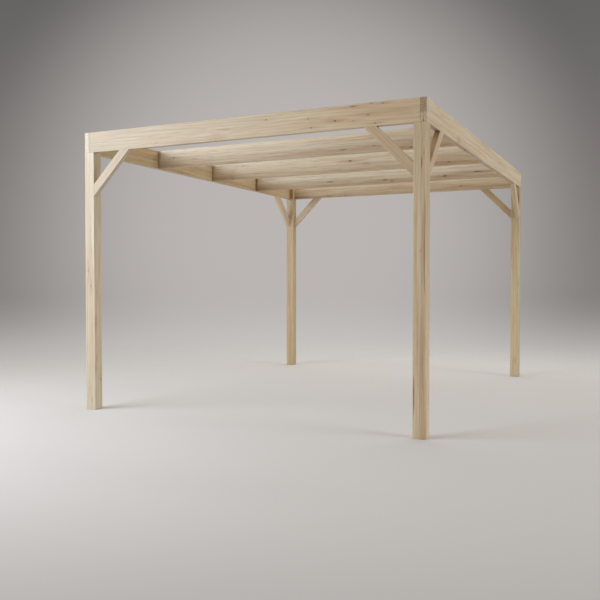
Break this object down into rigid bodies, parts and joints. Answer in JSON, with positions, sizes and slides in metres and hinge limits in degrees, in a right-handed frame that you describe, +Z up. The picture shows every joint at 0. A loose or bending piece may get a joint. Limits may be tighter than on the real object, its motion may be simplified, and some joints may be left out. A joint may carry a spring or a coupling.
{
  "type": "pergola",
  "caption": "Free-standing open timber pergola frame with a flat top: notched corner posts, side beams, rafters let in between them, and knee braces.",
  "frame": {"origin": "middle of the footprint, at the feet of the posts", "axes": "+X to the right along the front, +Y from the front to the back, +Z up"},
  "size_m": [3, 4, 2.37],
  "materials": {
    "planed_softwood": "planed, untreated"
  },
  "bodies": {
    "root": {"front_left_post": "planed_softwood", "front_right_post": "planed_softwood", "back_left_post": "planed_softwood", "back_right_post": "planed_softwood", "left_beam": "planed_softwood", "right_beam": "planed_softwood", "front_beam": "planed_softwood", "back_beam": "planed_softwood", "front_rafter": "planed_softwood", "middle_rafter": "planed_softwood", "back_rafter": "planed_softwood", "front_brace_left": "planed_softwood", "front_brace_right": "planed_softwood", "back_brace_left": "planed_softwood", "back_brace_right": "planed_softwood", "left_brace_front": "planed_softwood", "left_brace_back": "planed_softwood", "right_brace_front": "planed_softwood", "right_brace_back": "planed_softwood"}
  },
  "joints": []
}
